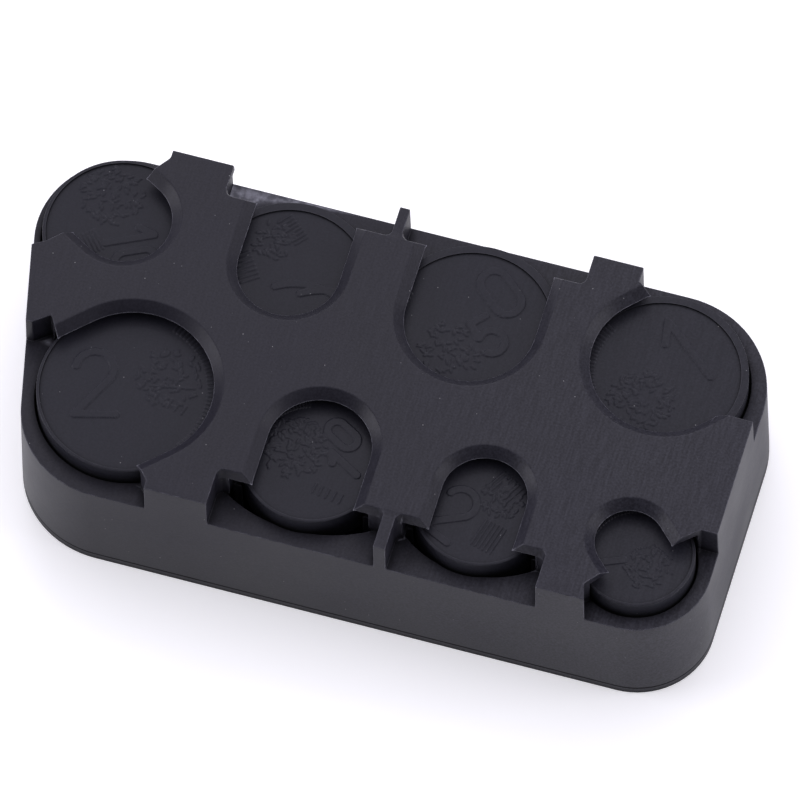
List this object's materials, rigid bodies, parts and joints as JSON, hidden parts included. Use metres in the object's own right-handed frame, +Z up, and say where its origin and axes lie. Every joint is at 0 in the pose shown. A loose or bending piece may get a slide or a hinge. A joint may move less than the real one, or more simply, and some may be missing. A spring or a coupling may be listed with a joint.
{
  "type": "coin purse",
  "caption": "Rigid pocket coin holder: shallow moulded case with a web of U-shaped thumb openings over round sprung plungers sized for euro and cent coins",
  "frame": {"origin": "centre of the underside of the base plate's bounding rectangle", "axes": "X along the long side to the square-cornered end, Y to the back row of coins, Z up out of the coin openings"},
  "size_m": [0.1057, 0.0526, 0.0244],
  "materials": {
    "case_plastic": "fine satin mould texture with faint scratches",
    "base_plastic": "satin",
    "plunger_plastic": "matt with shallow raised coin relief",
    "spring_steel": "drawn wire"
  },
  "bodies": {
    "case": {"case_body": "case_plastic", "base_plate": "base_plastic", "spring_rear_1": "spring_steel", "spring_rear_2": "spring_steel", "spring_rear_3": "spring_steel", "spring_rear_4": "spring_steel", "spring_front_1": "spring_steel", "spring_front_2": "spring_steel", "spring_front_3": "spring_steel", "spring_front_4": "spring_steel"},
    "coin_rear_1": {"plunger_rear_1": "plunger_plastic"},
    "coin_rear_2": {"plunger_rear_2": "plunger_plastic"},
    "coin_rear_3": {"plunger_rear_3": "plunger_plastic"},
    "coin_rear_4": {"plunger_rear_4": "plunger_plastic"},
    "coin_front_1": {"plunger_front_1": "plunger_plastic"},
    "coin_front_2": {"plunger_front_2": "plunger_plastic"},
    "coin_front_3": {"plunger_front_3": "plunger_plastic"},
    "coin_front_4": {"plunger_front_4": "plunger_plastic"}
  },
  "joints": [
    {"name": "press_rear_1", "type": "slide", "parent": "case", "child": "coin_rear_1", "axis": [0, 0, 1], "range_m": [-0.0125, 0], "stiffness_N_per_m": 80, "springref_m": 0.006, "deforming": ["spring_rear_1"]},
    {"name": "press_rear_2", "type": "slide", "parent": "case", "child": "coin_rear_2", "axis": [0, 0, 1], "range_m": [-0.0125, 0], "stiffness_N_per_m": 80, "springref_m": 0.006, "deforming": ["spring_rear_2"]},
    {"name": "press_rear_3", "type": "slide", "parent": "case", "child": "coin_rear_3", "axis": [0, 0, 1], "range_m": [-0.0125, 0], "stiffness_N_per_m": 80, "springref_m": 0.006, "deforming": ["spring_rear_3"]},
    {"name": "press_rear_4", "type": "slide", "parent": "case", "child": "coin_rear_4", "axis": [0, 0, 1], "range_m": [-0.0125, 0], "stiffness_N_per_m": 80, "springref_m": 0.006, "deforming": ["spring_rear_4"]},
    {"name": "press_front_1", "type": "slide", "parent": "case", "child": "coin_front_1", "axis": [0, 0, 1], "range_m": [-0.0125, 0], "stiffness_N_per_m": 80, "springref_m": 0.006, "deforming": ["spring_front_1"]},
    {"name": "press_front_2", "type": "slide", "parent": "case", "child": "coin_front_2", "axis": [0, 0, 1], "range_m": [-0.0125, 0], "stiffness_N_per_m": 80, "springref_m": 0.006, "deforming": ["spring_front_2"]},
    {"name": "press_front_3", "type": "slide", "parent": "case", "child": "coin_front_3", "axis": [0, 0, 1], "range_m": [-0.0125, 0], "stiffness_N_per_m": 80, "springref_m": 0.006, "deforming": ["spring_front_3"]},
    {"name": "press_front_4", "type": "slide", "parent": "case", "child": "coin_front_4", "axis": [0, 0, 1], "range_m": [-0.0125, 0], "stiffness_N_per_m": 80, "springref_m": 0.006, "deforming": ["spring_front_4"]}
  ]
}
